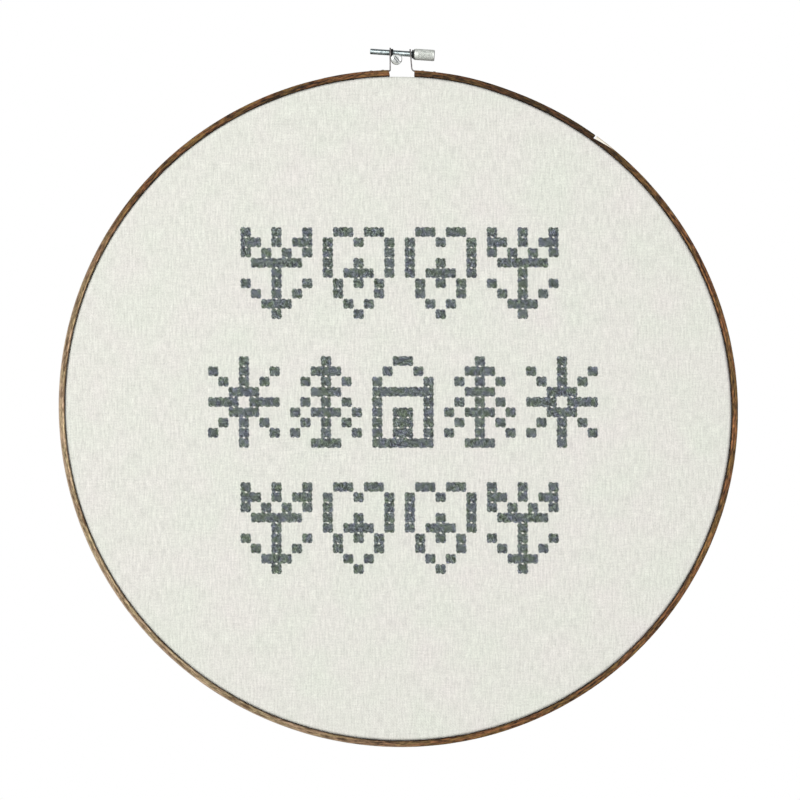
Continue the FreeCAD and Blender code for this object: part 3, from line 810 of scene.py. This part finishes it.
def make_inner_hoop():
    low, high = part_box("inner_hoop")
    outside = (high.x - low.x) / 2
    inside = outside - INNER_THICKNESS
    roundings = (WOOD_ROUNDING, WOOD_ROUNDING, 1.5 * MM, 1.5 * MM)
    section = rounded_section(inside, outside, high.y, low.y, roundings)
    build = Build()
    rows = []
    steps = 600
    for number in range(steps):
        angle = 360 * number / steps
        row = []
        for radius, y in section:
            along = math.radians(angle) * outside
            row.append(build.point(round_hoop(angle, radius, y), (along, radius, y)))
        rows.append(row)
    build.skin(rows, loop=True)
    build.finished("inner_hoop_beech", BEECH, "inner_hoop_and_cloth", ["inner_hoop"])


# ---- cloth -------------------------------------------------------------------


PLEATS = 84
PLEAT_HEIGHT = 3.4 * MM
PLEATS_START = 193.5 * MM


def pleat_height(angle, radius):
    """How far the gathered margin bulges forward, into the hollow behind the cloth."""
    inward = smooth_step(PLEATS_START, STITCH_LINE, radius) if radius < PLEATS_START else 0.0
    turn = math.radians(angle)
    uneven = 0.35 * wobble(math.cos(turn) * 9, math.sin(turn) * 9, 1.0)
    wave = math.cos(turn * PLEATS + TURN * uneven)
    sharp = ((1 + wave) / 2) ** 1.3
    size = 1 + 0.45 * wobble(math.cos(turn) * 14, math.sin(turn) * 14, 7.0)
    return PLEAT_HEIGHT * inward * sharp * size


def cloth_profile():
    """(radius, y, distance from the cloth's middle along the cloth) from the middle to the cut edge."""
    face_steps = 60
    shoulder_steps = 8
    side_steps = 8
    fold_steps = 4
    side_depth = 12.0 * MM
    fold = 0.7 * MM
    spots = [(0.4 * MM, CLOTH_FACE)]
    for number in range(1, face_steps):
        spots.append(((CLOTH_RIM - SHOULDER) * number / face_steps, CLOTH_FACE))
    for step in range(shoulder_steps + 1):
        turn = math.radians(90 * step / shoulder_steps)
        spots.append(
            (
                CLOTH_RIM - SHOULDER * (1 - math.sin(turn)),
                CLOTH_FACE + SHOULDER * (1 - math.cos(turn)),
            )
        )
    for number in range(1, side_steps):
        spots.append((CLOTH_RIM, CLOTH_FACE + SHOULDER + side_depth * number / side_steps))
    for step in range(fold_steps + 1):
        turn = math.radians(90 * step / fold_steps)
        spots.append((CLOTH_RIM - fold * (1 - math.cos(turn)), CLOTH_BACK - fold * (1 - math.sin(turn))))
    radius = CLOTH_RIM - fold
    while radius > MARGIN_INNER:
        radius -= 1.0 * MM
        spots.append((max(radius, MARGIN_INNER), CLOTH_BACK))
    profile = []
    travelled = spots[0][0]
    for number, (radius, y) in enumerate(spots):
        if number:
            before = spots[number - 1]
            travelled += math.hypot(radius - before[0], y - before[1])
        profile.append((radius, y, travelled))
    return profile


def make_cloth():
    """One round cloth, stretched over the inner hoop and gathered behind it."""
    around = 840
    build = Build()
    profile = cloth_profile()
    rows = []
    margin_start = CLOTH_RIM - 1.0 * MM
    for radius, y, travelled in profile:
        row = []
        behind = y > -2 * MM
        for number in range(around):
            angle = 360 * number / around
            turn = math.radians(angle)
            here, depth = radius, y
            if behind and radius < margin_start:
                depth -= pleat_height(angle, radius)
                ragged = smooth_step(STITCH_LINE, MARGIN_INNER, radius) if radius < STITCH_LINE else 0.0
                here += ragged * 1.6 * MM * wobble(math.cos(turn) * 30, math.sin(turn) * 30, 2.0)
            elif not behind and radius < CLOTH_RIM - SHOULDER:
                pull = smooth_step(150 * MM, 190 * MM, radius)
                spread = radius * 40
                depth += 0.05 * MM * wobble(spread * math.cos(turn), spread * math.sin(turn), 4.0)
                depth += 0.06 * MM * pull * wobble(math.cos(turn) * 22, math.sin(turn) * 22, 5.0)
            mark = (travelled * math.sin(turn), travelled * math.cos(turn), 0.0)
            row.append(build.point(round_hoop(angle, here, depth), mark))
        rows.append(row)
    build.skin(rows)
    build.cap(rows[0], flip=True)
    cloth = build.finished(
        "linen_cloth",
        LINEN,
        "inner_hoop_and_cloth",
        ["cloth_front", "cloth_side", "cloth_margin"],
    )
    skin = cloth.modifiers.new("cloth_thickness", "SOLIDIFY")
    skin.thickness = CLOTH_THICKNESS
    skin.offset = -1.0
    return cloth


def make_gathering_thread():
    """A running stitch through the margin, seen from behind as short dashes."""
    build = Build()
    stitches = 126
    steps = 10
    path = []
    for number in range(stitches * steps):
        angle = 360 * number / (stitches * steps)
        phase = TURN * number / steps
        through = math.tanh(2.2 * math.sin(phase))
        pleat = pleat_height(angle, STITCH_LINE)
        y = CLOTH_BACK - pleat * 0.98 - CLOTH_THICKNESS / 2 + through * 0.52 * MM
        drift = 0.3 * MM * wobble(angle * 0.6, 0.0, 0.0)
        path.append(round_hoop(angle, STITCH_LINE + drift, y))
    path.append(path[0].copy())
    tube(build, path, 0.6 * MM, 0.5 * MM, 8, Vector((0, 1, 0)))
    build.finished("running_thread", COTTON, "inner_hoop_and_cloth", ["gathering_thread"])


# ---- stitching ---------------------------------------------------------------


ARM_WIDTH = 0.64 * PITCH
ARM_STEPS = 8
ARM_LIFT = 0.42 * MM
UPPER_LIFT = 0.50 * MM
CROSSING_LIFT = 0.34 * MM
HOLE_JITTER = 0.09 * MM
BAR_STEPS = 5
STRANDS = (-1.0, -0.5, 0.0, 0.5, 1.0)


def stitch_arm(build, start, end, lift, over, seed):
    """One arm of a cross, as strands side by side that share a hole at each end.

    over is how much further the arm rises in its middle, to pass over the arm under it.
    """
    along = end - start
    side = Vector((along.z, 0, -along.x)).normalized()
    for strand in STRANDS:
        sway = 0.05 * random.uniform(-1, 1)
        path = []
        widths = []
        for step in range(ARM_STEPS + 1):
            share = step / ARM_STEPS
            arch = math.sin(math.pi * share)
            half = ARM_WIDTH / 2 * (0.47 + 0.51 * arch**0.5)
            bow = strand * (half - 0.36 * MM) + sway * arch * MM
            steep = 0.05 * PITCH * math.sin(TURN * share) * (-1 if along.x * along.z > 0 else 1)
            height = CLOTH_FACE + 0.30 * MM - lift * arch**0.45 - over * bell(share, 0.5, 0.22)
            height += 0.2 * MM * abs(strand)
            place = start + along * share + side * (bow + steep)
            path.append(Vector((place.x, height, place.z)))
            widths.append((0.55 + 0.35 * arch**0.5) * MM)
        twist = seed + strand * 0.37
        tube(build, path, widths, 0.55 * MM, 6, Vector((0, -1, 0)), twist, random.random() * MM)


def back_bar(build, start, end, surface, seed):
    """The yarn that runs upright behind the cloth, from one hole to the next."""
    path = []
    for step in range(BAR_STEPS + 1):
        share = step / BAR_STEPS
        arch = math.sin(math.pi * share)
        place = start.lerp(end, share)
        sway = 0.1 * MM * random.uniform(-1, 1)
        path.append(Vector((place.x + sway, surface + 0.45 * MM * arch**0.5, place.z)))
    tube(build, path, 0.9 * MM, 0.6 * MM, 6, Vector((0, 1, 0)), seed)


def make_motif(row_name, motif_name, pattern):
    """Works a cross in every cell of a pattern, over the CAD node that stands for the motif."""
    node = f"stitches_{row_name}_{motif_name}"
    low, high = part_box(node)
    overlap = 0.1 * MM
    left = low.x + overlap
    top = high.z - overlap
    back = CLOTH_FACE + CLOTH_THICKNESS
    build = Build()
    for row, cells in enumerate(pattern):
        for column, cell in enumerate(cells):
            if cell != "X":
                continue
            has_left = column > 0 and cells[column - 1] == "X"
            has_right = column + 1 < len(cells) and cells[column + 1] == "X"
            middle = Vector((left + (column + 0.5) * PITCH, 0, top - (row + 0.5) * PITCH))
            to_left = -PITCH * (0.5 if has_left else 0.44)
            to_right = PITCH * (0.5 if has_right else 0.44)
            has_above = row > 0 and pattern[row - 1][column] == "X"
            has_below = row + 1 < len(pattern) and pattern[row + 1][column] == "X"
            to_top = PITCH * (0.53 if has_above else 0.49)
            to_bottom = -PITCH * (0.53 if has_below else 0.49)
            corners = {}
            for name, x, z in (
                ("a", to_left, to_bottom),
                ("b", to_right, to_top),
                ("c", to_right, to_bottom),
                ("d", to_left, to_top),
            ):
                jitter = Vector((random.uniform(-1, 1), 0, random.uniform(-1, 1))) * HOLE_JITTER
                corners[name] = middle + Vector((x, 0, z)) + jitter
            seed = random.random()
            stitch_arm(build, corners["a"], corners["b"], ARM_LIFT, 0.0, seed)
            stitch_arm(build, corners["c"], corners["d"], UPPER_LIFT, CROSSING_LIFT, seed + 0.5)
            back_bar(build, corners["a"], corners["d"], back, seed)
            back_bar(build, corners["c"], corners["b"], back, seed + 0.3)
    build.finished(f"yarn_{row_name}_{motif_name}", GREY_YARN, "inner_hoop_and_cloth", [node])


def make_stitching():
    for row_name, motifs in ROWS:
        for motif_name, pattern in motifs:
            make_motif(row_name, motif_name, pattern)


# ---- closure -----------------------------------------------------------------


ROD_TILT = math.radians(3.7)
ROD_LIFT = 3.7 * MM
ROD_RADIUS = 1.75 * MM
ROD_PITCH = 0.6 * MM
ROD_AXIS = Vector((math.cos(ROD_TILT), 0, -math.sin(ROD_TILT)))
ROD_UP = Vector((math.sin(ROD_TILT), 0, math.cos(ROD_TILT)))
ROD_FOOT = Vector((0, -HOOP_DEPTH / 2, 0)) + ROD_UP * ROD_LIFT


def thread_profile(first, last, radius, groove, pitch, samples, chamfer=0.0):
    """A lathe profile whose radius follows a helix, so that its crests wind round the rod.

    samples is how many rings make one turn of the thread.
    """

    def radius_at(distance):
        def around(turn):
            phase = (distance / pitch - turn / TURN) % 1.0
            crest = abs(2 * phase - 1)
            wave = smooth_step(0.15, 0.85, crest)
            reach = radius - groove * (1 - wave)
            if chamfer:
                reach = min(reach, radius - chamfer + max(distance - first, 0.0))
            return max(reach, radius * 0.2)

        return around

    count = int((last - first) / pitch * samples)
    spots = []
    for number in range(count + 1):
        distance = first + (last - first) * number / count
        spots.append((distance, radius_at(distance)))
    return spots


def make_clamp_screw():
    tip = -16.1 * MM
    end_in_knob = 17.88 * MM
    groove = 0.07 * MM
    build = Build()
    spots = thread_profile(tip, end_in_knob, ROD_RADIUS, groove, ROD_PITCH, 10, chamfer=0.35 * MM)
    lathe(build, ROD_FOOT, ROD_AXIS, ROD_UP, spots, 28)
    build.finished("threaded_rod", STEEL_THREAD, "thumbscrew", ["clamp_screw"])


def make_thumb_knob():
    """Bright and smooth at both ends, with a diamond knurl round its middle."""
    start = 9.88 * MM
    knurl_start = 2.6 * MM
    knurl_end = 11.9 * MM
    knurl_depth = 0.2 * MM
    dish = 0.12 * MM
    length = 12.8 * MM
    radius = 3.4 * MM
    neck = 2.6 * MM
    taper = 1.2 * MM
    chamfer = 0.5 * MM
    knurls = 58

    def outline(distance):
        if distance < taper:
            return neck + (radius - neck) * math.sin(math.pi / 2 * distance / taper)
        if distance > length - chamfer:
            return radius - 0.8 * (distance - length + chamfer)
        return radius

    def radius_at(distance):
        base = outline(distance)
        past_start = smooth_step(knurl_start, knurl_start + 0.4 * MM, distance)
        band = past_start * (1 - smooth_step(knurl_end - 0.3 * MM, knurl_end, distance))

        def around(turn):
            if band <= 0:
                return base
            twist = distance / radius
            first = abs(math.sin((turn + twist) * knurls / 2))
            second = abs(math.sin((turn - twist) * knurls / 2))
            valley = min(first, second)
            return base - band * knurl_depth * (1 - smooth_step(0.0, 0.75, valley))

        return around

    spots = [(start, 1.6 * MM), (start, neck * 0.97)]
    steps = 150
    for number in range(1, steps + 1):
        distance = length * number / steps
        spots.append((start + distance, radius_at(distance)))
    spots.append((start + length, radius - chamfer * 1.15))
    spots.append((start + length - dish, radius * 0.55))
    spots.append((start + length - dish, radius * 0.2))
    build = Build()
    lathe(build, ROD_FOOT, ROD_AXIS, ROD_UP, spots, 348)
    build.finished("knurled_knob", KNOB_NICKEL, "thumbscrew", ["thumb_knob"])


def make_hanging_screw():
    """A slotted round-head screw. The thread ends just outside the wall."""
    forward = Vector((0, -1, 0))
    head_under = 12.8 * MM
    head_top = 15.0 * MM
    head_radius = 3.45 * MM
    shank = 1.75 * MM
    point = -28.5 * MM
    groove = 0.42 * MM
    pitch = 1.4 * MM
    spots = [(point, 0.08 * MM)]
    for distance, around in thread_profile(point + 0.1 * MM, 0.4 * MM, 2.0 * MM, groove, pitch, 12):
        tip = smooth_step(point, point + 4 * MM, distance)
        spots.append((distance, lambda turn, around=around, tip=tip: around(turn) * (0.06 + 0.94 * tip)))
    spots += [(0.5 * MM, shank), (head_under - 0.15 * MM, shank), (head_under, shank + 0.15 * MM)]
    spots += [(head_under, head_radius - 0.25 * MM), (head_under + 0.12 * MM, head_radius)]
    edge = 0.35 * MM
    roundness = 2 / 3.2
    dome_steps = 16
    for step in range(1, dome_steps + 1):
        turn = math.pi / 2 * step / dome_steps
        radius = max(head_radius * max(math.cos(turn), 0.0) ** roundness, 0.15 * MM)
        rise = (head_top - head_under - edge) * math.sin(turn) ** roundness
        spots.append((head_under + edge + rise, radius))
    build = Build()
    lathe(build, Vector((0, 0, 0)), forward, Vector((0, 0, 1)), spots, 56)
    screw = build.finished("slotted_screw", SCREW_ZINC, "wall_screw", ["hanging_screw"])

    half_width = 0.55 * MM
    half_length = 5 * MM
    depth = 1.0 * MM
    block = Build()
    ends = []
    for y in (-head_top + depth, -head_top - depth):
        row = []
        for across, up in ((-1, -1), (1, -1), (1, 1), (-1, 1)):
            local = Vector((across * half_length, y, up * half_width))
            row.append(block.point(Matrix.Rotation(SLOT_SLANT, 3, "Y") @ local))
        ends.append(row)
    block.strip(*ends)
    block.cap(ends[0], flip=True)
    block.cap(ends[1])
    carve(screw, block.plain("slot_cutter", SCREW_ZINC, smooth=False))
    soften(screw, 0.07 * MM)


def soften(piece, width):
    """Breaks a metal piece's sharp edges."""
    bevel = piece.modifiers.new("broken_edges", "BEVEL")
    bevel.width = width
    bevel.segments = 2
    bevel.limit_method = "ANGLE"
    bevel.angle_limit = math.radians(35)
    bevel.harden_normals = False


def dress(node, material, width):
    """Gives a CAD node its material, and breaks its edges."""
    piece = NODES[node]
    piece.data.materials.clear()
    piece.data.materials.append(material)
    soften(piece, width)


def make_closure():
    make_clamp_screw()
    make_thumb_knob()
    make_hanging_screw()
    dress("left_bracket", STRIP_STEEL, 0.15 * MM)
    dress("right_bracket", STRIP_STEEL, 0.15 * MM)
    # painted shade: the clinch nut and the washer are near black, for the shadow round the rod beside the
    # bracket legs
    dress("clinch_nut", DARK_STEEL, 0.2 * MM)
    dress("clamp_washer", DARK_STEEL, 0.15 * MM)
    dress("left_bracket_nails", ZINC, 0.1 * MM)
    dress("right_bracket_nails", ZINC, 0.1 * MM)


# ---- floor, light and camera -------------------------------------------------


def make_floor():
    mesh = bpy.data.meshes.new("floor")
    reach = 1.6
    level = -0.85
    turns = ((-1, -1), (1, -1), (1, 1), (-1, 1))
    corners = [(across * reach, deep * reach, level) for across, deep in turns]
    mesh.from_pydata(corners, [], [(0, 1, 2, 3)])
    floor = bpy.data.objects.new("floor", mesh)
    bpy.context.scene.collection.objects.link(floor)
    paint = Paint("pale_floor", Roughness=0.8)
    speckle = paint.cloud(paint.scaled(paint.place(), (60, 60, 60)), 3.0)
    paint.to("Base Color", paint.blend(speckle, rgb(222, 222, 218), rgb(236, 236, 232)))
    mesh.materials.append(paint.material)


def area_light(name, place, target, size, power, colour=(1, 1, 1)):
    light = bpy.data.lights.new(name, "AREA")
    light.shape = "RECTANGLE"
    light.size = size[0]
    light.size_y = size[1]
    light.energy = power
    light.color = colour
    lamp = bpy.data.objects.new(name, light)
    lamp.location = place
    lamp.rotation_euler = (Vector(target) - Vector(place)).to_track_quat("-Z", "Y").to_euler()
    bpy.context.scene.collection.objects.link(lamp)


def make_world():
    """A white backdrop for the camera, and a studio that is bright all round but dark above and below."""
    world = bpy.data.worlds.new("studio")
    bpy.context.scene.world = world
    world.use_nodes = True
    tree = world.node_tree
    tree.nodes.clear()
    place = tree.nodes.new("ShaderNodeTexCoord")
    parts = tree.nodes.new("ShaderNodeSeparateXYZ")
    tree.links.new(place.outputs["Generated"], parts.inputs[0])
    ramp = tree.nodes.new("ShaderNodeValToRGB")
    span = tree.nodes.new("ShaderNodeMapRange")
    span.inputs["From Min"].default_value = -1.0
    tree.links.new(parts.outputs["Z"], span.inputs["Value"])
    tree.links.new(span.outputs["Result"], ramp.inputs["Fac"])
    # brightness from straight below, at 0, to straight above, at 1
    heights = (
        (0.0, 0.12),
        (0.22, 0.10),
        (0.42, 0.75),
        (0.55, 0.9),
        (0.75, 1.0),
        (0.88, 0.3),
        (1.0, 0.12),
    )
    ramp.color_ramp.elements[0].position = heights[0][0]
    ramp.color_ramp.elements[0].color = (heights[0][1],) * 3 + (1,)
    ramp.color_ramp.elements[1].position = heights[-1][0]
    ramp.color_ramp.elements[1].color = (heights[-1][1],) * 3 + (1,)
    for position, level in heights[1:-1]:
        made = ramp.color_ramp.elements.new(position)
        made.color = (level, level, level, 1)
    seen = tree.nodes.new("ShaderNodeBackground")
    seen.inputs["Color"].default_value = (1, 1, 1, 1)
    around = tree.nodes.new("ShaderNodeBackground")
    tree.links.new(ramp.outputs["Color"], around.inputs["Color"])
    around.inputs["Strength"].default_value = 0.9
    path = tree.nodes.new("ShaderNodeLightPath")
    mix = tree.nodes.new("ShaderNodeMixShader")
    tree.links.new(path.outputs["Is Camera Ray"], mix.inputs[0])
    tree.links.new(around.outputs[0], mix.inputs[1])
    tree.links.new(seen.outputs[0], mix.inputs[2])
    out = tree.nodes.new("ShaderNodeOutputWorld")
    tree.links.new(mix.outputs[0], out.inputs["Surface"])


def make_camera():
    """Square on to the front, far away and with a long lens."""
    distance = 10.0
    camera = bpy.data.cameras.new("camera")
    camera.sensor_width = 36
    camera.lens = 750.7
    camera.clip_end = 60
    aim = Vector((HOOP_MIDDLE.x + 1.45 * MM, CLOTH_FACE, HOOP_MIDDLE.z + 5.31 * MM))
    viewer = bpy.data.objects.new("camera", camera)
    viewer.location = aim + Vector((0, -distance, 0))
    viewer.rotation_euler = (math.radians(90), 0, 0)
    bpy.context.scene.collection.objects.link(viewer)
    bpy.context.scene.camera = viewer


make_main_strip()
make_lap_strip()
make_inner_hoop()
make_cloth()
make_gathering_thread()
make_stitching()
make_closure()
make_floor()
make_world()
area_light("key", (-1.5, -1.7, 0.75), tuple(HOOP_MIDDLE), (1.2, 1.6), 27, (0.97, 1.0, 0.94))
area_light("fill", (1.6, -2.2, -0.1), tuple(HOOP_MIDDLE), (1.6, 1.6), 14, (1.0, 0.92, 0.95))
make_camera()
bpy.context.scene.view_settings.view_transform = "Standard"
